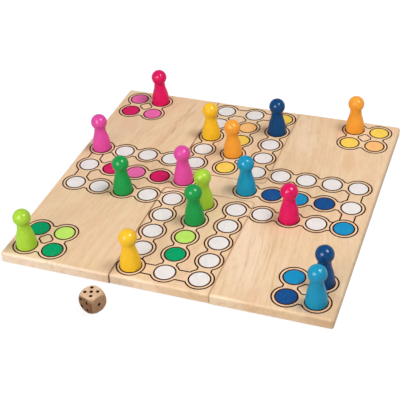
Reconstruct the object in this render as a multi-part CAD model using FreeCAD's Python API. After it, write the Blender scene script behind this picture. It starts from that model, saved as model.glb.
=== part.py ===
import FreeCAD, Part
import math
import os

# Wooden ludo board: H-shaped main board, two pull-out centre panels on dowels, sixteen pawns and a die.
# Origin: middle of the main board's underside. +X runs along the front edge, +Y to the back, +Z up.
# All lengths are in millimetres.

# Playing grid
field_pitch = 23.0              # between neighbouring fields of an arm
lane_offset = 28.75             # from the board's centre line to the lane beside it

# Main board
side_margin = 16.75             # from the outermost fields' middles to the left and right edges
end_margin = 15.5               # from the outermost fields' middles to the front and back edges
board_thickness = 9.0
top_edge_round = 2.0
bottom_edge_round = 1.0
corner_round_extra = 0.2        # by which the corners, seen from above, are rounder than the top edge
bridge_width = 28.0

# Centre panels
panel_side_margin = 12.45       # from the side lanes' middles to the panel's sides
panel_corner_round = 3.8        # the two corners beside the bridge
panel_set_back = 0.4            # of the outer end, behind the main board's edge
seam_gap = 0.25                 # sliding clearance on each side of a panel
seam_edge_round = 0.4           # eased edges along the seams

# Dowel pins, glued into the panels and a running fit in the bridge
dowel_diameter = 5.0
dowel_spacing = 52.0
dowel_glued_length = 14.0
dowel_plug_length = 10.0        # the stretch that stands out of the panel
dowel_end_clearance = 0.5
dowel_end_chamfer = 0.6
dowel_running_clearance = 0.05
dowel_glue_gap = 0.05

# Pawns
pawn_height = 35.4
pawn_base_diameter = 17.0
pawn_neck_diameter = 10.4
pawn_head_diameter = 14.6
pawn_neck_round = 3.0           # hollow round between the bell and the head
pawn_foot_round = 0.7
pawn_bell_share = 0.65          # of the body's height, where its bell turns hollow

# Die
die_edge = 16.0
die_edge_round = 1.2            # eased edges of the cube
die_corner_trim = 3.05          # taken off each corner of the cube by the ball that rounds it
die_pip_diameter = 2.8
die_pip_depth = 0.7
die_pip_offset = 3.4            # from a face's middle to a row of pips
die_place_x = -41.9
die_standoff = 28.4             # from the board's front edge to the die's middle
die_turn_degrees = -26.0

# How far a cutting shape reaches past the faces that it opens
cut_overrun = 1.0

# Fields that the pawns stand on: a letter for the column, from the left, and the row, from the front
grid_columns = "abcdefghijk"
pawn_fields = {
    "crimson": ["b11", "i5"],
    "pink": ["a7", "e6"],
    "yellow": ["e9", "e1"],
    "orange": ["f8", "j11"],
    "lime": ["f5", "a1"],
    "green": ["c5", "f4"],
    "light_blue": ["g6", "k1"],
    "dark_blue": ["g10", "k2"],
}

# Sides of the die before it is turned: way out, two ways along the side, pips in steps of the offset
along_x = FreeCAD.Vector(1, 0, 0)
along_y = FreeCAD.Vector(0, 1, 0)
along_z = FreeCAD.Vector(0, 0, 1)
middle_pip = [(0, 0)]
slant_pips = [(-1, -1), (1, 1)]
corner_pips = [(-1, -1), (-1, 1), (1, -1), (1, 1)]
die_sides = [
    (along_x, along_y, along_z, middle_pip),
    (-along_z, along_x, along_y, slant_pips),
    (along_y, along_x, along_z, slant_pips + middle_pip),
    (-along_y, along_x, along_z, corner_pips),
    (along_z, along_x, along_y, corner_pips + middle_pip),
    (-along_x, along_y, along_z, corner_pips + [(0, -1), (0, 1)]),
]

# Ends of the board along Y, and sides along X
ends = {"front": -1, "back": 1}
sides = {"left": -1, "right": 1}


# Place of a column or row, counted in steps from the middle one. The lanes beside the middle are further
# from it than the other fields are from each other.
def grid_place(step):
    if step == 0:
        return 0.0
    return math.copysign(lane_offset + (abs(step) - 1) * field_pitch, step)


def field_place(field):
    column = grid_columns.index(field[0])
    row = int(field[1:]) - 1
    return FreeCAD.Vector(grid_place(column - steps_out), grid_place(row - steps_out), board_thickness)


# Sizes and places worked out from the ones above
steps_out = len(grid_columns) // 2
half_width = grid_place(steps_out) + side_margin
half_depth = grid_place(steps_out) + end_margin
half_bridge = bridge_width / 2
middle_height = board_thickness / 2
corner_round = top_edge_round + corner_round_extra
panel_width = 2 * (lane_offset + panel_side_margin)
notch_width = panel_width + 2 * seam_gap
notch_corner_round = panel_corner_round + seam_gap
dowel_radius = dowel_diameter / 2


# A block centred on X, from one distance to another towards an end, over the thickness and any overrun
def plate(width, near, far, end, overrun=0):
    low_y = min(near * end, far * end)
    corner = FreeCAD.Vector(-width / 2, low_y, -overrun)
    return Part.makeBox(width, far - near, board_thickness + 2 * overrun, corner)


# Edges and faces are told apart by the half of the thickness that they lie in
def upper_edges(solid):
    return [edge for edge in solid.Edges if edge.BoundBox.ZMin > middle_height]


def lower_edges(solid):
    return [edge for edge in solid.Edges if edge.BoundBox.ZMax < middle_height]


def upright(shapes):
    return [shape for shape in shapes if shape.BoundBox.ZMin < middle_height < shape.BoundBox.ZMax]


def distance_out(shape):
    return abs(shape.CenterOfMass.y)


# Rounds the two upright edges of a plate that are nearest to the bridge
def round_inner_corners(solid, radius):
    corners = sorted(upright(solid.Edges), key=distance_out)
    return solid.makeFillet(radius, corners[:2])


# Eases the border of a strip of walls: each edge that only one of the walls has
def ease_border(solid, walls):
    edges = [edge for wall in walls for edge in wall.Edges]
    border = [edge for edge in edges if sum(edge.isSame(other) for other in edges) == 1]
    return solid.makeFillet(seam_edge_round, border)


# A round bar along Y on a dowel's axis, from one distance to another towards an end
def bar(radius, side, near, far, end):
    base = FreeCAD.Vector(sides[side] * dowel_spacing / 2, near * end, middle_height)
    return Part.makeCylinder(radius, far - near, base, along_y * end)


def make_main_board():
    board = plate(2 * half_width, -half_depth, half_depth, ends["back"])
    board = board.makeFillet(corner_round, upright(board.Edges))
    board = board.makeFillet(top_edge_round, upper_edges(board))
    board = board.makeFillet(bottom_edge_round, lower_edges(board))
    for end in ends.values():
        notch = plate(notch_width, half_bridge, half_depth + cut_overrun, end, cut_overrun)
        board = board.cut(round_inner_corners(notch, notch_corner_round))
    walls = [
        face for face in upright(board.Faces)
        if abs(face.CenterOfMass.x) < half_width - corner_round
        and distance_out(face) < half_depth - corner_round
    ]
    board = ease_border(board, walls)
    hole_radius = dowel_radius + dowel_running_clearance
    for end in ends.values():
        for side in sides:
            bottom = half_bridge - dowel_plug_length - dowel_end_clearance
            board = board.cut(bar(hole_radius, side, bottom, half_bridge + cut_overrun, end))
    return board


def make_panel(end):
    panel = plate(panel_width, half_bridge, half_depth - panel_set_back, end)
    panel = round_inner_corners(panel, panel_corner_round)
    panel = panel.makeFillet(top_edge_round, [max(upper_edges(panel), key=distance_out)])
    panel = panel.makeFillet(bottom_edge_round, [max(lower_edges(panel), key=distance_out)])
    walls = sorted(upright(panel.Faces), key=distance_out)
    panel = ease_border(panel, walls[:-1])
    hole_radius = dowel_radius + dowel_glue_gap
    for side in sides:
        bottom = half_bridge + dowel_glued_length
        panel = panel.cut(bar(hole_radius, side, half_bridge - cut_overrun, bottom, end))
    return panel


def make_dowel(end, side):
    tip = half_bridge - dowel_plug_length
    dowel = bar(dowel_radius, side, tip, half_bridge + dowel_glued_length, end)
    rims = [edge for edge in dowel.Edges if edge.Closed]
    return dowel.makeChamfer(dowel_end_chamfer, rims)


def profile_point(radius, height):
    return FreeCAD.Vector(radius, 0, height)


# Half outline of a pawn, turned about Z: foot, bell that swells and then hollows to the neck, neck round, ball
# head. Both arcs of the bell turn by the same angle, so they meet smoothly and end upright, and the neck round
# touches both the upright end of the bell and the ball.
def make_pawn():
    base_radius = pawn_base_diameter / 2
    neck_radius = pawn_neck_diameter / 2
    head_radius = pawn_head_diameter / 2
    head_height = pawn_height - head_radius
    round_out = neck_radius + pawn_neck_round
    round_to_head = head_radius + pawn_neck_round
    neck_height = head_height - math.sqrt(round_to_head ** 2 - round_out ** 2)
    body_height = neck_height - pawn_foot_round
    turn = 2 * math.atan((base_radius - neck_radius) / body_height)
    swell_radius = pawn_bell_share * body_height / math.sin(turn)
    hollow_radius = (1 - pawn_bell_share) * body_height / math.sin(turn)

    def foot(angle):
        inset = pawn_foot_round * (1 - math.cos(angle))
        return profile_point(base_radius - inset, pawn_foot_round * (1 - math.sin(angle)))

    def swell(angle):
        inset = swell_radius * (1 - math.cos(angle))
        return profile_point(base_radius - inset, pawn_foot_round + swell_radius * math.sin(angle))

    def hollow(angle):
        flare = hollow_radius * (1 - math.cos(angle))
        return profile_point(neck_radius + flare, neck_height - hollow_radius * math.sin(angle))

    def neck(angle):
        flare = pawn_neck_round * (1 - math.cos(angle))
        return profile_point(neck_radius + flare, neck_height + pawn_neck_round * math.sin(angle))

    def head(angle):
        return profile_point(head_radius * math.cos(angle), head_height + head_radius * math.sin(angle))

    upright_turn = math.pi / 2
    neck_turn = math.acos(round_out / round_to_head)
    centre = profile_point(0, 0)
    edges = [
        Part.LineSegment(centre, foot(upright_turn)),
        Part.Arc(foot(upright_turn), foot(upright_turn / 2), foot(0)),
        Part.Arc(foot(0), swell(turn / 2), swell(turn)),
        Part.Arc(swell(turn), hollow(turn / 2), hollow(0)),
        Part.Arc(neck(0), neck(neck_turn / 2), neck(neck_turn)),
        Part.Arc(neck(neck_turn), head((upright_turn - neck_turn) / 2), head(upright_turn)),
        Part.LineSegment(head(upright_turn), centre),
    ]
    outline = Part.Wire([edge.toShape() for edge in edges])
    return Part.Face(outline).revolve(centre, along_z, 360)


# A cube with eased edges and ball-rounded corners, with a shallow round dimple for each pip
def make_die():
    half = die_edge / 2
    die = Part.makeBox(die_edge, die_edge, die_edge, FreeCAD.Vector(-half, -half, -half))
    die = die.makeFillet(die_edge_round, die.Edges)
    corner_distance = FreeCAD.Vector(half, half, half).Length
    die = die.common(Part.makeSphere(corner_distance - die_corner_trim))
    drill_radius = ((die_pip_diameter / 2) ** 2 + die_pip_depth ** 2) / (2 * die_pip_depth)
    drill_height = half + drill_radius - die_pip_depth
    for outward, across, along, pips in die_sides:
        for column, row in pips:
            place = outward * drill_height + (across * column + along * row) * die_pip_offset
            die = die.cut(Part.makeSphere(drill_radius, place))
    die.rotate(FreeCAD.Vector(0, 0, 0), along_z, die_turn_degrees)
    die.translate(FreeCAD.Vector(die_place_x, -half_depth - die_standoff, half))
    return die


def make_nodes():
    nodes = {"main_board": make_main_board(), "die": make_die()}
    for name, end in ends.items():
        nodes[name + "_panel"] = make_panel(end)
        for side in sides:
            nodes[name + "_dowel_" + side] = make_dowel(end, side)
    for colour, fields in pawn_fields.items():
        for number, field in enumerate(fields, start=1):
            pawn = make_pawn()
            pawn.translate(field_place(field))
            nodes[colour + "_pawn_" + str(number)] = pawn
    return nodes


os.makedirs("parts", exist_ok=True)
for name, shape in make_nodes().items():
    shape.exportStep("parts/" + name + ".step")
    state = "valid" if shape.isValid() else "not valid"
    print(name, state, "solids", len(shape.Solids), "volume", round(shape.Volume))
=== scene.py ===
import math
import bpy
import numpy as np
from mathutils import Matrix, Vector


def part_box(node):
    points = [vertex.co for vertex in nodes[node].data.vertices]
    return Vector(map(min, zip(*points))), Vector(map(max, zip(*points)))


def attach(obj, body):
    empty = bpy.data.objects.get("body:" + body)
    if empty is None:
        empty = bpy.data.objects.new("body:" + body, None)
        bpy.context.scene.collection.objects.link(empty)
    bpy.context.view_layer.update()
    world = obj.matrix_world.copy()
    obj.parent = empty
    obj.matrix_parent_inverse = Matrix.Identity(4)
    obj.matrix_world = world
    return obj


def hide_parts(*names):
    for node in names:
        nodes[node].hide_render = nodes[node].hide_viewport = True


# Wooden ludo board with two pull-out panels, sixteen lacquered pawns and a die. Metres, in the CAD frame.
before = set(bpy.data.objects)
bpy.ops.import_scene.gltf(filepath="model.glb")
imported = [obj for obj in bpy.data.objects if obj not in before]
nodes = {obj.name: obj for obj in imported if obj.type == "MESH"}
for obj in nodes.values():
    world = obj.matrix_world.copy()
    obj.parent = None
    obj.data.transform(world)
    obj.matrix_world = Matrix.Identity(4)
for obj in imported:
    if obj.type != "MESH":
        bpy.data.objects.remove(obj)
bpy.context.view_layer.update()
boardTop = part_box("main_board")[1].z
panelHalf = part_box("front_panel")[1].x
bridgeHalf = -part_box("front_panel")[1].y
panelEnd = -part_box("front_panel")[0].y
print("frame loaded:", len(nodes), "nodes")


# Turns a colour written as screen values from 0 to 255 into linear light
def paint(red, green, blue):
    share = np.array([red, green, blue]) / 255
    linear = np.where(share <= 0.04045, share / 12.92, ((share + 0.055) / 1.055) ** 2.4)
    return (*linear.tolist(), 1.0)


fullWhite = (1, 1, 1, 1)
noLight = (0, 0, 0, 1)


# One output in a node tree: arithmetic adds Math nodes, node() adds any other kind
class Wire:
    def __init__(self, tree, socket=None):
        self.tree = tree
        self.socket = socket

    def node(self, kind, settings, sockets, output=0):
        made = self.tree.nodes.new(kind)
        for key, value in settings.items():
            if key == "stops":
                self.setStops(made.color_ramp.elements, value)
            else:
                setattr(made, key, value)
        for key, value in sockets.items():
            if isinstance(value, Wire):
                self.tree.links.new(value.socket, made.inputs[key])
            else:
                made.inputs[key].default_value = value
        return Wire(self.tree, made.outputs[output])

    def setStops(self, elements, stops):
        while len(elements) < len(stops):
            elements.new(1.0)
        for element, (position, colour) in zip(elements, stops):
            element.position = position
            element.color = colour

    def maths(self, operation, *others):
        return self.node("ShaderNodeMath", {"operation": operation}, dict(enumerate((self, *others))))

    def __add__(self, other):
        return self.maths("ADD", other)

    def __sub__(self, other):
        return self.maths("SUBTRACT", other)

    def __rsub__(self, other):
        return self.maths("MULTIPLY_ADD", -1.0, other)

    def __mul__(self, other):
        return self.maths("MULTIPLY", other)

    def __truediv__(self, other):
        return self.maths("DIVIDE", other)

    def __pow__(self, other):
        return self.maths("POWER", other)

    __radd__ = __add__
    __rmul__ = __mul__

    # 0 below low, 1 above high and a soft step between; low may be above high
    def step(self, low, high):
        sockets = {"Value": self, "From Min": low, "From Max": high}
        return self.node("ShaderNodeMapRange", {"interpolation_type": "SMOOTHSTEP"}, sockets)

    # One number below low, another above high, and a soft change between
    def fade(self, low, high, first, second):
        return first + self.step(low, high) * (second - first)

    # A vector's part along one axis
    def along(self, axis):
        return self.node("ShaderNodeSeparateXYZ", {}, {0: self}, output=axis)

    # A vector with each part multiplied, and another vector added
    def stretched(self, factors, shift=(0, 0, 0)):
        settings = {"operation": "MULTIPLY_ADD"}
        return self.node("ShaderNodeVectorMath", settings, {0: self, 1: factors, 2: shift})

    # Soft noise whose blotches are about as large as the given sizes along x, y and z
    def noise(self, sizes, shift=(0, 0, 0), detail=2.0, roughness=0.5):
        place = self.stretched([1 / size for size in sizes], shift)
        sockets = {"Vector": place, "Scale": 1.0, "Detail": detail, "Roughness": roughness}
        return self.node("ShaderNodeTexNoise", {"noise_dimensions": "3D"}, sockets, output="Fac")

    # Colour between two others
    def blend(self, first, second, kind="MIX"):
        settings = {"data_type": "RGBA", "blend_type": kind}
        return self.node("ShaderNodeMix", settings, {0: self, 6: first, 7: second}, output=2)

    # A colour multiplied by this one
    def times(self, colour):
        settings = {"data_type": "RGBA", "blend_type": "MULTIPLY"}
        return self.node("ShaderNodeMix", settings, {0: 1.0, 6: colour, 7: self}, output=2)

    def ramp(self, stops):
        return self.node("ShaderNodeValToRGB", {"stops": stops}, {0: self})


# A new material: its shader node, and object coordinates to work from
def newFinish(name):
    material = bpy.data.materials.new(name)
    material.use_nodes = True
    tree = material.node_tree
    shader = tree.nodes["Principled BSDF"]
    place = Wire(tree).node("ShaderNodeTexCoord", {}, {}, output="Object")
    return material, shader, place


def connect(shader, links):
    for key, wire in links.items():
        wire.tree.links.new(wire.socket, shader.inputs[key])


# Height in metres, as a bump on the shader's normal
def addBump(shader, height):
    sockets = {"Height": height, "Strength": 1.0, "Distance": 1.0}
    connect(shader, {"Normal": height.node("ShaderNodeBump", {}, sockets)})


# Pale hardwood, grain along y: glued staves, growth rings about a heart line under each stave, soft flakes
# and fibres drawn out along the slightly slanting grain, short pores, marks, some of them painted light, and
# duller end grain.
def woodFinish(name, look):
    material, shader, place = newFinish(name)
    x = place.along("X")
    y = place.along("Y")
    z = place.along("Z")
    stave = (x / look["staveWidth"] + look["staveShift"]).maths("FLOOR")
    chance = {"W": stave + look["seed"]}
    luck = stave.node("ShaderNodeTexWhiteNoise", {"noise_dimensions": "1D"}, chance, output="Value")
    scatter = stave.node("ShaderNodeTexWhiteNoise", {"noise_dimensions": "1D"}, chance, output="Color")
    shift = scatter.stretched(look["scatter"])

    # the grain runs aside by a share of the way along it, another on each side of the middle, and wavers
    drift = place.noise(look["waveSize"], shift, detail=1.0) - 0.5
    lean = x.fade(-look["leanBlend"], look["leanBlend"], look["leanLeft"], look["leanRight"])
    slant = x + y * lean + drift * look["waveHeight"]
    grain = place.node("ShaderNodeCombineXYZ", {}, {0: slant, 1: y, 2: z})

    # distance from the stave's heart line, counted in rings
    heart = (stave + 0.5 - look["staveShift"]) * look["staveWidth"] + (luck - 0.5) * look["heartSpread"]
    aside = slant - heart
    depth = z + look["heartDepth"]
    rings = (aside * aside + depth * depth) ** 0.5 / look["ringWidth"]
    ringPart = rings.maths("FRACT")
    lateWood = ringPart.step(*look["lateRise"]) * (1 - ringPart.step(*look["lateFall"]))

    broad = grain.noise(look["broadSize"], shift, detail=2.0)
    hue = grain.noise(look["hueSize"], shift, detail=2.0)
    flake = grain.noise(look["flakeSize"], shift, detail=2.0)
    wisp = grain.noise(look["wispSize"], shift, detail=2.0).step(*look["wispStep"])
    fibre = grain.noise(look["fibreSize"], shift, detail=3.0, roughness=0.6)
    pore = grain.noise(look["poreSize"], shift, detail=1.0).step(*look["poreStep"])

    tone = 0.5 + (luck - 0.5) * look["staveTone"] + (broad - 0.5) * look["broadTone"]
    tone = tone + (flake - 0.5) * look["flakeTone"] + (fibre - 0.5) * look["fibreTone"]
    tone = tone - lateWood * look["ringTone"] - wisp * look["wispTone"]
    colour = tone.ramp([(0.0, look["dark"]), (0.5, look["middle"]), (1.0, look["pale"])])
    colour = (hue.step(*look["blushStep"]) * look["blushShare"]).blend(colour, look["blush"])

    # each mark is a long soft patch, whole or broken up into wisps or specks
    kinds = {
        "whole": flake.step(*look["wholeStep"]),
        "wisps": wisp,
        "specks": fibre.step(*look["speckStep"]),
    }
    for mark in look["marks"]:
        off = (slant - mark["x"]) / mark["wide"]
        past = (y - mark["y"]) / mark["long"]
        patch = (off * off + past * past).step(1.0, look["markCore"])
        colour = (patch * kinds[mark["kind"]] * mark["share"]).blend(colour, mark["tint"])

    colour = (pore * look["poreShare"]).blend(colour, look["pore"])
    normal = place.node("ShaderNodeNewGeometry", {}, {}, output="Normal")
    endGrain = normal.along("Y").maths("ABSOLUTE").step(*look["endStep"])
    # end grain is duller; the die's much darker end tint is painted shade as well
    colour = endGrain.blend(colour, look["endGrainAndShadeTint"], "MULTIPLY")
    if "paintedSideShade" in look:
        # painted shade: the sides darker than the top, as if less light fell on them
        side = normal.along("Z").maths("ABSOLUTE").step(*look["paintedSideShadeStep"])
        colour = side.blend(colour, look["paintedSideShade"], "MULTIPLY")
    if look["seams"]:
        # darker brown along the seams on the level tops and at the panel ends, more on the left, and none on
        # the walls inside them
        past = x.maths("ABSOLUTE") - (look["seamAt"] - look["seamCorner"])
        short = look["seamFrom"] + look["seamCorner"] - y.maths("ABSOLUTE")
        outX = past.maths("MAXIMUM", 0.0)
        outY = short.maths("MAXIMUM", 0.0)
        inside = past.maths("MAXIMUM", short).maths("MINIMUM", 0.0)
        offSeam = (outX * outX + outY * outY) ** 0.5 + inside - look["seamCorner"]
        level = normal.along("Z").maths("ABSOLUTE").step(*look["levelStep"])
        atEnd = y.maths("ABSOLUTE").step(*look["atEndStep"])
        seamDark = offSeam.maths("ABSOLUTE").step(look["seamWidth"], 0.0) * level.maths("MAXIMUM", atEnd)
        seamDarkShare = x.fade(-panelHalf, panelHalf, look["seamDarkLeft"], look["seamDarkRight"])
        colour = (seamDark * seamDarkShare).blend(colour, look["seamDark"])
    rough = look["roughness"] + (fibre - 0.5) * look["fibreRough"]
    rough = rough + pore * look["poreRough"] + endGrain * look["endRough"]
    connect(shader, {"Base Color": colour, "Roughness": rough})
    addBump(shader, (fibre - 0.5) * look["fibreBump"] - pore * look["poreBump"])
    shader.inputs["Specular IOR Level"].default_value = look["specular"]
    return material


boardLook = dict(
    seed=3.0, scatter=(23, 31, 17), staveWidth=0.047, staveShift=0.0, staveTone=0.16,
    leanLeft=-0.06, leanRight=0.12, leanBlend=0.03,
    heartSpread=0.05, heartDepth=0.024,
    ringWidth=0.0062, lateRise=(0.2, 0.95), lateFall=(0.93, 1.0), ringTone=0.12,
    waveSize=(0.05, 0.09, 0.05), waveHeight=0.014,
    broadSize=(0.022, 0.07, 0.022), broadTone=0.7,
    hueSize=(0.011, 0.035, 0.011), blushStep=(0.4, 0.72), blush=paint(240, 194, 164), blushShare=0.32,
    flakeSize=(0.0046, 0.016, 0.0046), flakeTone=0.55,
    wispSize=(0.0024, 0.05, 0.0024), wispStep=(0.54, 0.64), wispTone=0.1,
    fibreSize=(0.0011, 0.009, 0.0011), fibreTone=0.6, fibreRough=0.25, fibreBump=0.00003,
    poreSize=(0.0008, 0.005, 0.0008), poreStep=(0.66, 0.74), poreShare=0.2, poreRough=0.1, poreBump=0.00004,
    dark=paint(226, 186, 146), middle=paint(239, 209, 170), pale=paint(250, 226, 198),
    pore=paint(190, 142, 102), endStep=(0.6, 0.95), endGrainAndShadeTint=paint(250, 247, 244), endRough=0.1,
    roughness=0.55, specular=0.08,
    seams=True, seamAt=panelHalf + 0.000125, seamFrom=bridgeHalf, seamCorner=0.0039, seamWidth=0.0012,
    seamDark=paint(126, 62, 30), seamDarkLeft=0.9, seamDarkRight=0.38,
    levelStep=(0.1, 0.5), atEndStep=(panelEnd - 0.00235, panelEnd - 0.00035),
    markCore=0.1, wholeStep=(0.2, 0.5), speckStep=(0.42, 0.6),
    marks=[
        dict(x=-0.0715, y=0.086, wide=0.0036, long=0.05, tint=paint(196, 140, 104), share=0.6, kind="specks"),
        dict(x=-0.066, y=0.105, wide=0.003, long=0.02, tint=paint(186, 136, 100), share=0.5, kind="specks"),
        dict(x=-0.118, y=0.076, wide=0.012, long=0.02, tint=paint(240, 184, 150), share=0.35, kind="whole"),
        dict(x=0.110, y=0.066, wide=0.008, long=0.022, tint=paint(226, 178, 128), share=0.5, kind="whole"),
        dict(x=0.070, y=0.095, wide=0.016, long=0.045, tint=paint(248, 222, 192), share=0.4, kind="whole"),
        dict(x=0.046, y=-0.085, wide=0.020, long=0.055, tint=paint(250, 226, 198), share=0.5, kind="whole"),
        dict(x=0.058, y=-0.090, wide=0.026, long=0.060, tint=paint(218, 171, 124), share=0.36, kind="wisps"),
        # painted light: pale bands on the front face, the wide one brightening its left end
        dict(x=-0.096, y=-0.137, wide=0.075, long=0.004, tint=paint(254, 236, 218), share=0.6, kind="whole"),
        dict(x=0.036, y=-0.137, wide=0.022, long=0.004, tint=paint(254, 233, 204), share=0.6, kind="whole"),
        dict(x=0.112, y=-0.128, wide=0.018, long=0.03, tint=paint(214, 172, 132), share=0.5, kind="whole"),
    ],
)
boardWood = woodFinish("boardWood", boardLook)
panelLook = {**boardLook, "marks": [], "staveShift": 0.3, "leanLeft": -0.03, "leanRight": -0.03}
frontPanelPaintedLight = [
    # painted light: a pale band on the front panel's front face, by the die
    dict(x=-0.018, y=-0.137, wide=0.034, long=0.004, tint=paint(255, 228, 198), share=0.85, kind="whole"),
]
frontPanelWood = woodFinish("frontPanelWood", {**panelLook, "seed": 11.0, "marks": frontPanelPaintedLight})
backPanelWood = woodFinish("backPanelWood", {**panelLook, "seed": 19.0, "staveShift": 0.7})
dowelLook = {**panelLook, "seed": 29.0, "middle": paint(230, 198, 152), "seams": False}
dowelWood = woodFinish("dowelWood", dowelLook)
woods = {
    "main_board": boardWood, "front_panel": frontPanelWood, "back_panel": backPanelWood,
    "front_dowel_left": dowelWood, "front_dowel_right": dowelWood,
    "back_dowel_left": dowelWood, "back_dowel_right": dowelWood,
}
for node, wood in woods.items():
    for slot in nodes[node].material_slots:
        slot.material = wood
print("wood laid on", len(woods), "nodes")


# Makes an object of a shell, which is its points and blocks of faces with equal numbers of corners
def addPiece(name, shell, material, body, smooth=False):
    points, blocks = shell
    mesh = bpy.data.meshes.new(name)
    mesh.from_pydata(points.tolist(), [], [face for block in blocks for face in block.tolist()])
    mesh.polygons.foreach_set("use_smooth", np.full(len(mesh.polygons), smooth))
    mesh.materials.append(material)
    mesh.validate()
    piece = bpy.data.objects.new(name, mesh)
    bpy.context.scene.collection.objects.link(piece)
    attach(piece, body)
    return piece


# Several shells as one, with the faces of each counted on from the one before
def joined(shells):
    counts = np.cumsum([0] + [len(points) for points, blocks in shells])
    points = np.concatenate([points for points, blocks in shells])
    return points, [block + start for start, (_, blocks) in zip(counts, shells) for block in blocks]


# One shell at many places
def copied(shell, places):
    points, blocks = shell
    starts = np.arange(len(places))[:, None, None] * len(points)
    spread = places[:, None, :] + points[None, :, :]
    return spread.reshape(-1, 3), [(block + starts).reshape(-1, block.shape[1]) for block in blocks]


# A profile of radius and height, from the axis to the axis, turned about z
def lathe(radii, heights, turns):
    angle = np.arange(turns) * 2 * np.pi / turns
    unitRim = np.stack([np.cos(angle), np.sin(angle)], axis=1)
    rows = len(radii) - 2
    rims = np.empty((rows, turns, 3))
    rims[..., :2] = radii[1:-1, None, None] * unitRim
    rims[..., 2] = heights[1:-1, None]
    poles = np.array([[0, 0, heights[0]], [0, 0, heights[-1]]])
    here = np.arange(turns)
    following = (here + 1) % turns
    row = np.arange(rows - 1)[:, None] * turns
    walls = np.stack([row + here, row + following, row + turns + following, row + turns + here], axis=-1)
    under = np.stack([np.full(turns, rows * turns), following, here], axis=-1)
    last = (rows - 1) * turns
    over = np.stack([last + here, last + following, np.full(turns, rows * turns + 1)], axis=-1)
    return np.concatenate([rims.reshape(-1, 3), poles]), [walls.reshape(-1, 4), under, over]


# Field print: each player's shades, clockwise from the left, and the colour of the start field
players = [
    dict(shades=("crimson", "pink"), start="crimson"),
    dict(shades=("orange", "yellow"), start="yellow"),
    dict(shades=("dark_blue", "light_blue"), start="light_blue"),
    dict(shades=("green", "lime"), start="green"),
]
fieldPrint = dict(
    pitch=0.023, lane=0.02875, stepsOut=5,
    discRadius=0.0083, ringRadius=0.00864, ringLine=0.0013,
    outlineRadius=0.01145, outlineLine=0.00123, neckHalf=0.0058, neckRound=0.0011,
    discFilm=0.00002, lineFilm=0.00004, crossFilm=0.00005, root=0.00003,
    seamGap=0.00025, seamRound=0.0004,
    turns=56, arcPoints=34, roundPoints=7, neckPoints=13, turnSlack=0.01,
)
printBodies = ["main_board", "front_panel", "back_panel"]


# Place of a column or row counted from the middle one; the lanes beside the middle stand further off
def gridPlace(steps):
    steps = np.asarray(steps, float)
    return np.sign(steps) * (fieldPrint["lane"] + (np.abs(steps) - 1) * fieldPrint["pitch"])


# A field moved on by quarter turns, clockwise
def turned(field, quarters):
    x, y = field
    for quarter in range(quarters):
        x, y = y, -x
    return x, y


# Which body's top each place lies on, as its number in printBodies, or -1 in the gap of a seam
def bodyUnder(places):
    across = np.abs(places[..., 0])
    out = places[..., 1]
    onPanel = (across <= panelHalf) & (np.abs(out) > bridgeHalf)
    onMain = (across >= panelHalf + fieldPrint["seamGap"]) | (np.abs(out) < bridgeHalf)
    return np.select([onPanel & (out < 0), onPanel, onMain], [1, 2, 0], -1)


# Height of the wood's top: level, and falling off in a quarter round beside a seam
def topHeight(places):
    across = np.abs(places[..., 0])
    inside = np.maximum(panelHalf - across, across - panelHalf - fieldPrint["seamGap"])
    inside = np.where(np.abs(places[..., 1]) > bridgeHalf, inside, 1.0)
    edge = fieldPrint["seamRound"]
    short = edge - np.clip(inside, 0, edge)
    return boardTop - edge + np.sqrt(edge ** 2 - short ** 2)


# A flat line of ink along a path: two upper and two lower edges, sunk a little into the wood
def inkLine(path, width, film, closed):
    if closed:
        run = np.roll(path, -1, axis=0) - np.roll(path, 1, axis=0)
    else:
        run = np.gradient(path, axis=0)
    run = run / np.linalg.norm(run, axis=1, keepdims=True)
    aside = np.stack([run[:, 1], -run[:, 0]], axis=1) * width / 2
    height = topHeight(path)
    edges = np.empty((len(path), 4, 3))
    edges[:, :2, :2] = np.stack([path - aside, path + aside], axis=1)
    edges[:, 2:, :2] = edges[:, 1::-1, :2]
    edges[:, :2, 2] = (height - fieldPrint["root"])[:, None]
    edges[:, 2:, 2] = (height + film)[:, None]
    here = np.arange(len(path))[:, None]
    ahead = (here + 1) % len(path)
    corner = np.arange(4)
    beside = (corner + 1) % 4
    sides = np.stack([4 * here + corner, 4 * ahead + corner, 4 * ahead + beside, 4 * here + beside], axis=-1)
    if closed:
        return edges.reshape(-1, 3), [sides.reshape(-1, 4)]
    caps = np.array([corner, 4 * (len(path) - 1) + corner[::-1]])
    return edges.reshape(-1, 3), [sides[:-1].reshape(-1, 4), caps]


# The playing loop, goal lanes and home yards, a quarter for each player
fieldInks = {}
necks = []
startFields = []
farStep = fieldPrint["stepsOut"]
loopQuarter = [(step, 1) for step in range(-farStep, 0)] + [(-1, step) for step in range(2, farStep + 1)]
loopQuarter = loopQuarter + [(0, farStep)]
goalLane = [(step, 0) for step in range(-farStep, 0)]
homeYard = [(1 - farStep, farStep - 1), (1 - farStep, farStep), (-farStep, farStep), (-farStep, farStep - 1)]
for quarter, player in enumerate(players):
    loop = [turned(field, quarter) for field in loopQuarter]
    lane = [turned(field, quarter) for field in goalLane]
    yard = [turned(field, quarter) for field in homeYard]
    necks += zip(loop, loop[1:] + [turned(loopQuarter[0], quarter + 1)])
    necks += zip(lane, lane[1:])
    necks += zip(yard, yard[1:] + yard[:1])
    fieldInks.update({field: "white" for field in loop})
    fieldInks[loop[0]] = player["start"]
    fieldInks.update({field: player["shades"][(field[0] + field[1]) % 2] for field in lane[1:]})
    fieldInks.update({field: player["shades"][1 - (field[0] + field[1]) % 2] for field in yard})
    startFields.append(loop[0])
print("print laid out:", len(fieldInks), "fields,", len(necks), "necks")


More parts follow.
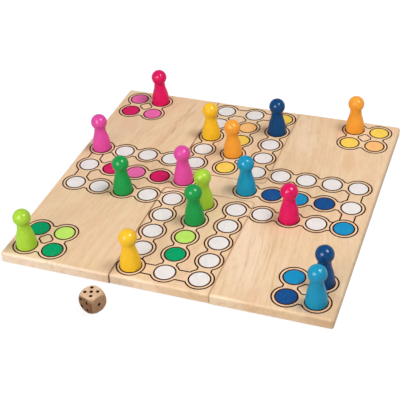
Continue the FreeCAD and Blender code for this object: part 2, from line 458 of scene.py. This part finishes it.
# Every neck in both directions. Along its left side the outline leaves the field's circle by a small round,
# runs straight at half the neck's width, and joins the next circle by another round.
ways = necks + [(far, near) for near, far in necks]
wayFrom = gridPlace([near for near, far in ways])
wayTo = gridPlace([far for near, far in ways])
span = wayTo - wayFrom
length = np.linalg.norm(span, axis=1)
heading = np.arctan2(span[:, 1], span[:, 0])
leaving = {field: [index for index, way in enumerate(ways) if way[0] == field] for field in fieldInks}


# The neck that the outline turns into at the end of a way: the first one clockwise from where it came, which
# itself counts last by the slack
def nextWay(index):
    choices = leaving[ways[index][1]]
    clockwise = (heading[index] + np.pi - heading[choices] - fieldPrint["turnSlack"]) % (2 * np.pi)
    return choices[int(np.argmin(clockwise))]


following = np.array([nextWay(index) for index in range(len(ways))])
roundSide = fieldPrint["neckHalf"] + fieldPrint["neckRound"]
roundReach = math.sqrt((fieldPrint["outlineRadius"] + fieldPrint["neckRound"]) ** 2 - roundSide ** 2)
roundAngle = math.atan2(roundSide, roundReach)


# Points on arcs about a centre, between angles
def arc(centre, radius, angles):
    return centre + radius * np.stack([np.cos(angles), np.sin(angles)], axis=-1)


# Places given along and to the left of each way, moved onto the board
def laidAlong(local, origin):
    ahead = np.stack([np.cos(heading), np.sin(heading)], axis=1)[:, None, :]
    left = np.stack([-np.sin(heading), np.cos(heading)], axis=1)[:, None, :]
    return origin[:, None, :] + local[..., :1] * ahead + local[..., 1:] * left


leaveRound = arc(np.array([roundReach, roundSide]), fieldPrint["neckRound"],
                 np.linspace(roundAngle - np.pi, -np.pi / 2, fieldPrint["roundPoints"]))
joinRound = arc(np.array([-roundReach, roundSide]), fieldPrint["neckRound"],
                np.linspace(-np.pi / 2, -roundAngle, fieldPrint["roundPoints"]))
share = np.linspace(0, 1, fieldPrint["neckPoints"])[1:-1]
neckRun = roundReach + share * (length[:, None] - 2 * roundReach)
neckLine = np.stack([neckRun, np.full_like(neckRun, fieldPrint["neckHalf"])], axis=-1)
sweep = (heading + np.pi - 2 * roundAngle - heading[following]) % (2 * np.pi)
share = np.linspace(0, 1, fieldPrint["arcPoints"])[1:-1]
arcAngles = (heading + np.pi - roundAngle)[:, None] - share * sweep[:, None]
stretches = np.concatenate([
    laidAlong(np.broadcast_to(leaveRound, (len(ways), *leaveRound.shape)), wayFrom),
    laidAlong(neckLine, wayFrom),
    laidAlong(np.broadcast_to(joinRound, (len(ways), *joinRound.shape)), wayTo),
    arc(wayTo[:, None, :], fieldPrint["outlineRadius"], arcAngles),
], axis=1)


# Follows the outline round from each way that isn't on one yet
def outlineLoops():
    free = set(range(len(ways)))
    while free:
        index = min(free)
        loop = []
        while index in free:
            free.remove(index)
            loop.append(index)
            index = int(following[index])
        yield stretches[loop].reshape(-1, 2)


# A closed path as runs that each lie on one body
def runsByBody(path):
    under = bodyUnder(path)
    changes = np.flatnonzero(under != np.roll(under, 1))
    if len(changes) == 0:
        return [(under[0], path, True)]
    first = changes[0]
    runs = np.split(np.roll(path, -first, axis=0), changes[1:] - first)
    return [(under[change], run, False) for change, run in zip(changes, runs) if under[change] >= 0]


outlines = {body: [] for body in printBodies}
for path in outlineLoops():
    for number, run, closed in runsByBody(path):
        shell = inkLine(run, fieldPrint["outlineLine"], fieldPrint["lineFilm"], closed)
        outlines[printBodies[number]].append(shell)
for field in startFields:
    centre = gridPlace(field)
    for way in leaving[field]:
        angles = heading[way] + np.linspace(roundAngle, -roundAngle, fieldPrint["roundPoints"])
        crossing = arc(centre, fieldPrint["outlineRadius"], angles)
        shell = inkLine(crossing, fieldPrint["outlineLine"], fieldPrint["crossFilm"], False)
        outlines[printBodies[int(bodyUnder(centre))]].append(shell)


# Ink on wood: the fibres of the wood show through it a little, and its film is uneven
def inkFinish(name, colour, look):
    material, shader, place = newFinish(name)
    fibre = place.noise(look["fibreSize"], detail=3.0, roughness=0.6)
    patch = place.noise(look["patchSize"], detail=2.0)
    thin = fibre.step(*look["thinStep"]) * look["showThrough"]
    shaded = patch.step(*look["patchStep"]).blend(look["shade"], fullWhite)
    connect(shader, {
        "Base Color": thin.blend(shaded.times(colour), look["wood"]),
        "Roughness": look["roughness"] + (patch - 0.5) * look["patchRough"] + thin * look["thinRough"],
    })
    addBump(shader, (fibre - 0.5) * look["bump"])
    shader.inputs["Specular IOR Level"].default_value = look["specular"]
    return material


inkLook = dict(
    fibreSize=(0.0007, 0.012, 0.0007), thinStep=(0.5, 0.8), thinRough=0.3, showThrough=0.06,
    patchSize=(0.0045, 0.007, 0.0045), patchStep=(0.25, 0.75), patchRough=0.3,
    shade=(0.93, 0.93, 0.93, 1), wood=paint(226, 188, 144), bump=0.00002, roughness=0.6, specular=0.03,
)
fieldColours = {
    "white": paint(241, 235, 232),
    "crimson": paint(220, 32, 102),
    "pink": paint(240, 110, 176),
    "yellow": paint(254, 214, 94),
    "orange": paint(254, 194, 124),
    "lime": paint(196, 238, 108),
    "green": paint(0, 164, 106),
    "light_blue": paint(24, 148, 200),
    "dark_blue": paint(22, 82, 146),
}
fieldFinishes = {ink: inkFinish(ink + "Ink", colour, inkLook) for ink, colour in fieldColours.items()}
lineInk = inkFinish("outlineInk", paint(66, 20, 6), {**inkLook, "specular": 0.0})


# A disc of ink, and the ring round it, at every field
discRadii = np.array([0, 1, 1, 0]) * fieldPrint["discRadius"]
discHeights = np.array([-1, -1, 0, 0]) * fieldPrint["root"] + np.array([0, 0, 1, 1]) * fieldPrint["discFilm"]
disc = lathe(discRadii, discHeights, fieldPrint["turns"])
circle = np.arange(fieldPrint["turns"]) * 2 * np.pi / fieldPrint["turns"]
ringPath = arc(np.zeros(2), fieldPrint["ringRadius"], circle)
ringPoints, ringFaces = inkLine(ringPath, fieldPrint["ringLine"], fieldPrint["lineFilm"], True)
ring = (ringPoints - np.array([0, 0, boardTop]), ringFaces)
fieldNames = np.array(list(fieldInks.values()))
fieldPlaces = np.full((len(fieldInks), 3), boardTop)
fieldPlaces[:, :2] = gridPlace(list(fieldInks))
fieldBodies = bodyUnder(fieldPlaces)
for number, body in enumerate(printBodies):
    here = fieldBodies == number
    for ink in sorted(set(fieldNames[here])):
        places = fieldPlaces[here & (fieldNames == ink)]
        addPiece(body + "_" + ink + "_fields", copied(disc, places), fieldFinishes[ink], body)
    addPiece(body + "_field_rings", copied(ring, fieldPlaces[here]), lineInk, body)
    addPiece(body + "_outline", joined(outlines[body]), lineInk, body)
print("fields and outlines printed")


# Pawn: foot round, bell of two arcs that swell and then hollow to an upright neck, neck round, ball head
pawnShape = dict(
    base=0.0085, neck=0.0052, head=0.0073, footRound=0.0007, neckRound=0.003, bellShare=0.65,
    turns=72, footPoints=6, bellPoints=16, neckPoints=8, headPoints=34,
)
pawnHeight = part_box("pink_pawn_1")[1].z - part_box("pink_pawn_1")[0].z


def pawnProfile(shape, height):
    foot = shape["footRound"]
    headHeight = height - shape["head"]
    neckRound = shape["neckRound"]
    roundOut = shape["neck"] + neckRound
    roundToHead = shape["head"] + neckRound
    neckHeight = headHeight - math.sqrt(roundToHead ** 2 - roundOut ** 2)
    neckTurn = math.acos(roundOut / roundToHead)
    bell = neckHeight - foot
    turn = 2 * math.atan((shape["base"] - shape["neck"]) / bell)
    swell = shape["bellShare"] * bell / math.sin(turn)
    hollow = (1 - shape["bellShare"]) * bell / math.sin(turn)
    footAngle = np.linspace(np.pi / 2, 0, shape["footPoints"])
    swellAngle = np.linspace(0, turn, shape["bellPoints"])[1:]
    hollowAngle = np.linspace(turn, 0, shape["bellPoints"])[1:]
    neckAngle = np.linspace(0, neckTurn, shape["neckPoints"])[1:]
    headAngle = np.linspace(-neckTurn, np.pi / 2, shape["headPoints"])[1:]
    radii = np.concatenate([
        [0],
        shape["base"] - foot * (1 - np.cos(footAngle)),
        shape["base"] - swell * (1 - np.cos(swellAngle)),
        shape["neck"] + hollow * (1 - np.cos(hollowAngle)),
        shape["neck"] + neckRound * (1 - np.cos(neckAngle)),
        shape["head"] * np.cos(headAngle),
    ])
    heights = np.concatenate([
        [0],
        foot * (1 - np.sin(footAngle)),
        foot + swell * np.sin(swellAngle),
        neckHeight - hollow * np.sin(hollowAngle),
        neckHeight + neckRound * np.sin(neckAngle),
        headHeight + shape["head"] * np.sin(headAngle),
    ])
    return radii, heights


# Gloss lacquer on turned wood: faint turning marks, wood grain that telegraphs through, uneven film
def lacquerFinish(name, colour, look):
    material, shader, place = newFinish(name)
    grain = place.noise(look["grainSize"], detail=3.0)
    film = place.noise(look["filmSize"], detail=2.0)
    marks = place.noise(look["markSize"], detail=1.0)
    uneven = grain * look["grainShare"] + film * (1 - look["grainShare"])
    shaded = uneven.step(*look["shadeStep"]).blend(look["shade"], fullWhite)
    connect(shader, {
        "Base Color": shaded.times(colour),
        "Roughness": look["roughness"] + (film - 0.5) * look["filmRough"],
    })
    addBump(shader, (marks - 0.5) * look["markBump"] + (grain - 0.5) * look["grainBump"])
    shader.inputs["Specular IOR Level"].default_value = look["specular"]
    shader.inputs["Coat Weight"].default_value = look["coat"]
    shader.inputs["Coat Roughness"].default_value = look["coatRoughness"]
    return material


lacquerLook = dict(
    grainSize=(0.0011, 0.0011, 0.012), filmSize=(0.004, 0.004, 0.004), markSize=(0.05, 0.05, 0.0005),
    grainShare=0.6, shadeStep=(0.3, 0.7), shade=(0.93, 0.93, 0.93, 1), markBump=0.000003, grainBump=0.000003,
    roughness=0.4, filmRough=0.2, specular=0.03, coat=0.3, coatRoughness=0.12,
)
pawnColours = {
    "crimson": paint(229, 20, 98),
    "pink": paint(232, 79, 168),
    "yellow": paint(254, 199, 41),
    "orange": paint(255, 168, 56),
    "lime": paint(173, 217, 60),
    "green": paint(26, 157, 76),
    "light_blue": paint(22, 152, 192),
    "dark_blue": paint(4, 70, 124),
}
pawnShell = lathe(*pawnProfile(pawnShape, pawnHeight), pawnShape["turns"])
for colour, tint in pawnColours.items():
    lacquer = lacquerFinish(colour + "Lacquer", tint, lacquerLook)
    for number in "12":
        node = colour + "_pawn_" + number
        low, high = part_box(node)
        foot = np.array([[(low.x + high.x) / 2, (low.y + high.y) / 2, low.z]])
        shell = copied(pawnShell, foot)
        pawn = addPiece(node + "_turned", shell, lacquer, node, smooth=True)
        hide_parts(node)
print("pawns turned")


# Die: a cube with eased edges, rounded by a ball, on six grids that meet at the cube's edges. A point goes
# out along its ray to the nearer of cube and ball, with a short soft change between them, and a pip is a
# drill ball's dimple.
dieShape = dict(
    cornerTrim=0.00305, edgeRound=0.0012, softness=0.0009, turnDegrees=-26.0, sharpDegrees=32.0,
    pipRadius=0.0014, pipDepth=0.0007, pipStep=0.0034, gridPoints=81, weldDigits=7,
    paintFilm=0.00003, paintRows=8, paintTurns=28,
)
slantPips = [(-1, -1), (1, 1)]
cornerPips = slantPips + [(-1, 1), (1, -1)]
dieSides = [
    ((1, 0, 0), (0, 1, 0), (0, 0, 1), [(0, 0)]),
    ((0, 0, -1), (1, 0, 0), (0, 1, 0), slantPips),
    ((0, 1, 0), (1, 0, 0), (0, 0, 1), slantPips + [(0, 0)]),
    ((0, -1, 0), (1, 0, 0), (0, 0, 1), cornerPips),
    ((0, 0, 1), (1, 0, 0), (0, 1, 0), cornerPips + [(0, 0)]),
    ((-1, 0, 0), (0, 1, 0), (0, 0, 1), cornerPips + [(0, -1), (0, 1)]),
]
dieLow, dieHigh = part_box("die")
dieHalf = (dieHigh.z - dieLow.z) / 2
dieMiddle = np.array((dieLow + dieHigh) / 2)
dieTurn = np.array(Matrix.Rotation(math.radians(dieShape["turnDegrees"]), 3, "Z"))
drillRadius = (dieShape["pipRadius"] ** 2 + dieShape["pipDepth"] ** 2) / (2 * dieShape["pipDepth"])
drillHeight = dieHalf + drillRadius - dieShape["pipDepth"]


# Height of a dimple's floor at a distance from its middle
def dimpleFloor(distance):
    return drillHeight - np.sqrt(np.maximum(drillRadius ** 2 - distance ** 2, 0))


# How far a ray goes until the sum of squares of its parts' overshoot past the core is the edge round squared
def toRound(parts, core, edge):
    total = parts.sum(axis=-1)
    square = (parts ** 2).sum(axis=-1)
    rest = parts.shape[-1] * core ** 2 - edge ** 2
    return (core * total + np.sqrt(np.maximum((core * total) ** 2 - square * rest, 0))) / square


# Reach of the eased cube along rays of length one: flats first, then rounded edges, then rounded corners
def easedCube(ray):
    parts = np.sort(np.abs(ray), axis=-1)[..., ::-1]
    edge = dieShape["edgeRound"]
    core = dieHalf - edge
    flat = dieHalf / parts[..., 0]
    bent = toRound(parts[..., :2], core, edge)
    corner = toRound(parts, core, edge)
    return np.where(flat * parts[..., 1] <= core, flat, np.where(bent * parts[..., 2] <= core, bent, corner))


def dieSide(outward, across, along, pips):
    outward, across, along = np.array([outward, across, along], float)
    spread = np.tan(np.linspace(-np.pi / 4, np.pi / 4, dieShape["gridPoints"]))
    u, v = np.meshgrid(spread, spread, indexing="ij")
    ray = outward + u[..., None] * across + v[..., None] * along
    ray = ray / np.linalg.norm(ray, axis=-1, keepdims=True)
    toCube = easedCube(ray)
    toBall = dieHalf * math.sqrt(3) - dieShape["cornerTrim"]
    mix = np.clip(0.5 + (toBall - toCube) / (2 * dieShape["softness"]), 0, 1)
    out = toBall + (toCube - toBall) * mix - dieShape["softness"] * mix * (1 - mix)
    points = ray * out[..., None]
    pipPlaces = np.array(pips, float) * dieShape["pipStep"]
    lateral = np.stack([points @ across, points @ along], axis=-1)
    distance = np.linalg.norm(lateral[..., None, :] - pipPlaces, axis=-1).min(axis=-1)
    height = points @ outward
    floor = np.where(distance < dieShape["pipRadius"], dimpleFloor(distance), height)
    points = points + (np.minimum(height, floor) - height)[..., None] * outward
    count = dieShape["gridPoints"]
    corner = np.arange(count - 1)[:, None] * count + np.arange(count - 1)
    quads = np.stack([corner, corner + count, corner + count + 1, corner + 1], axis=-1).reshape(-1, 4)
    if np.dot(np.cross(across, along), outward) < 0:
        quads = quads[:, ::-1]
    return points.reshape(-1, 3), [quads]


# Paint in a dimple: a thin cup whose floor and surface both follow the dimple
def pipPaint(outward, across, along, pips):
    outward, across, along = np.array([outward, across, along], float)
    reach = np.linspace(0, dieShape["pipRadius"], dieShape["paintRows"])
    film = dieShape["paintFilm"]
    radii = np.concatenate([reach, reach[::-1]])
    heights = np.concatenate([dimpleFloor(reach) - film, dimpleFloor(reach[::-1]) + film])
    heights = np.minimum(heights, dieHalf - film)
    points, faces = lathe(radii, heights, dieShape["paintTurns"])
    points = points @ np.stack([across, np.cross(outward, across), outward])
    places = np.array([(across * column + along * row) * dieShape["pipStep"] for column, row in pips])
    return copied((points, faces), places)


# Shared edge points of the six grids become one
def welded(shell):
    points, blocks = shell
    rounded = np.round(points, dieShape["weldDigits"])
    _, first, number = np.unique(rounded, axis=0, return_index=True, return_inverse=True)
    return points[first], [number.reshape(-1)[block] for block in blocks]


def setDown(shell):
    points, blocks = shell
    return points @ dieTurn.T + dieMiddle, blocks


dieLook = {
    **panelLook, "seed": 41.0, "staveWidth": 0.2, "staveShift": 0.62,
    "ringWidth": 0.0026, "ringTone": 0.17, "broadTone": 0.4,
    "dark": paint(196, 150, 108), "middle": paint(229, 195, 162), "pale": paint(240, 212, 182),
    # end tint: duller end grain, and painted shade on the die's left face and the face opposite
    "blush": paint(204, 154, 112), "pore": paint(140, 96, 64), "endGrainAndShadeTint": paint(168, 152, 130),
    # side tint: painted shade, the four sides darker than the top
    "paintedSideShadeStep": (0.95, 0.3), "paintedSideShade": paint(214, 203, 195), "roughness": 0.42, "seams": False,
}
dieWood = woodFinish("dieWood", dieLook)
pipInk = inkFinish("pipPaint", paint(26, 20, 18), {**inkLook, "showThrough": 0.1, "bump": 0.00001})
dieShell = setDown(welded(joined([dieSide(*side) for side in dieSides])))
dieBody = addPiece("die_rounded", dieShell, dieWood, "die", smooth=True)
dieBody.data.set_sharp_from_angle(angle=math.radians(dieShape["sharpDegrees"]))
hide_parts("die")
pipShell = setDown(joined([pipPaint(*side) for side in dieSides]))
addPiece("die_pips", pipShell, pipInk, "die", smooth=True)
print("die shaped")


# Camera fitted to the printed grid of the photograph
cameraFit = dict(
    azimuth=21.4885, elevation=36.3729, roll=-3.3214, distance=0.81684,
    target=(-0.00524, -0.02380, 0.009), lens=85.842, sensor=36.0, clipStart=0.01,
)


def placeCamera(fit):
    azimuth, elevation, roll = (math.radians(fit[key]) for key in ("azimuth", "elevation", "roll"))
    back = Vector((math.sin(azimuth) * math.cos(elevation), -math.cos(azimuth) * math.cos(elevation),
                   math.sin(elevation)))
    level = Vector((0, 0, 1)).cross(back).normalized()
    upright = back.cross(level)
    right = level * math.cos(roll) + upright * math.sin(roll)
    up = upright * math.cos(roll) - level * math.sin(roll)
    lens = bpy.data.cameras.new("photoCamera")
    lens.sensor_width = fit["sensor"]
    lens.lens = fit["lens"]
    lens.clip_start = fit["clipStart"]
    camera = bpy.data.objects.new("photoCamera", lens)
    bpy.context.scene.collection.objects.link(camera)
    turn = Matrix((right, up, back)).transposed().to_4x4()
    camera.matrix_world = Matrix.Translation(Vector(fit["target"]) + back * fit["distance"]) @ turn
    bpy.context.scene.camera = camera


placeCamera(cameraFit)


# Lamps stand round the board's middle, each facing it. The gleams show only in gloss, the others never do.
lamps = {
    "keyLamp": dict(
        toward=(0.400, 0.060, 0.914), distance=1.2, size=0.45, power=7.1, colour=(1.0, 0.985, 0.97),
    ),
    "keyGleam": dict(
        toward=(0.539, -0.095, 0.836), distance=1.1, size=0.52, power=17.0, colour=(1.0, 1.0, 1.0),
        glossOnly=True,
    ),
    "frontLamp": dict(
        toward=(-0.292, -0.885, 0.359), distance=1.1, size=0.75, power=6.6, colour=(1.0, 0.99, 0.98),
        shadow=False,
    ),
    "frontGleam": dict(
        toward=(-0.282, -0.831, 0.480), distance=1.0, size=0.6, power=14.0, colour=(1.0, 1.0, 1.0),
        glossOnly=True,
    ),
}
for name, lamp in lamps.items():
    light = bpy.data.lights.new(name, "AREA")
    light.shape = "DISK"
    light.use_shadow = lamp.get("shadow", True)
    light.size = lamp["size"]
    light.energy = lamp["power"]
    light.color = lamp["colour"]
    stand = bpy.data.objects.new(name, light)
    bpy.context.scene.collection.objects.link(stand)
    stand.visible_diffuse = not lamp.get("glossOnly", False)
    stand.visible_glossy = not stand.visible_diffuse
    toward = Vector(lamp["toward"]).normalized()
    facing = toward.to_track_quat("Z", "Y").to_matrix().to_4x4()
    stand.matrix_world = Matrix.Translation(toward * lamp["distance"]) @ facing


# World: soft even light; white where the camera, a reflection or glass sees it
worldLook = dict(ambient=(0.36, 0.36, 0.37, 1), seen=fullWhite, whiteTo=0.12, dimFrom=0.45)
world = bpy.data.worlds.new("studio")
world.use_nodes = True
bpy.context.scene.world = world
worldTree = world.node_tree


def seenDirectly(tree):
    path = {name: Wire(tree).node("ShaderNodeLightPath", {}, {}, output=name)
            for name in ("Is Camera Ray", "Is Glossy Ray", "Is Transmission Ray")}
    direct = path["Is Camera Ray"] + path["Is Glossy Ray"] + path["Is Transmission Ray"]
    return direct.maths("MINIMUM", 1.0)


skyHeight = Wire(worldTree).node("ShaderNodeTexCoord", {}, {}, output="Generated").along("Z")
backdrop = seenDirectly(worldTree) * skyHeight.step(worldLook["dimFrom"], worldLook["whiteTo"])
skyColour = backdrop.blend(worldLook["ambient"], worldLook["seen"])
worldTree.links.new(skyColour.socket, worldTree.nodes["Background"].inputs["Color"])

# Floor: pale, and where it is seen directly nearly white with a faint shadow, and all white further off
floorLook = dict(
    half=3.0, under=0.0002, colour=(0.4, 0.4, 0.4, 1), seenColour=(0.23, 0.23, 0.23, 1),
    nearGlow=(0.84, 0.84, 0.84, 1), farGlow=fullWhite, nearTo=0.3, farFrom=0.9,
)
floorMesh = bpy.data.meshes.new("floor")
floorEdge = floorLook["half"] * np.array([[-1, -1], [1, -1], [1, 1], [-1, 1]])
floorMesh.from_pydata([(x, y, -floorLook["under"]) for x, y in floorEdge.tolist()], [], [(0, 1, 2, 3)])
floor = bpy.data.objects.new("floor", floorMesh)
bpy.context.scene.collection.objects.link(floor)
floorFinish, floorShader, floorPlace = newFinish("floorPaper")
floorTree = floorFinish.node_tree
direct = seenDirectly(floorTree)
lengthNode = {"operation": "LENGTH"}
offMiddle = floorPlace.node("ShaderNodeVectorMath", lengthNode, {0: floorPlace}, output="Value")
far = offMiddle.step(floorLook["nearTo"], floorLook["farFrom"])
glow = far.blend(floorLook["nearGlow"], floorLook["farGlow"])
connect(floorShader, {
    "Base Color": direct.blend(floorLook["colour"], floorLook["seenColour"]),
    "Emission Color": direct.blend(noLight, glow),
})
floorShader.inputs["Emission Strength"].default_value = 1.0
floorShader.inputs["Roughness"].default_value = 1.0
floorShader.inputs["Specular IOR Level"].default_value = 0.0
floorMesh.materials.append(floorFinish)
bpy.context.scene.view_settings.view_transform = "Standard"
print("camera, lamps and floor set")
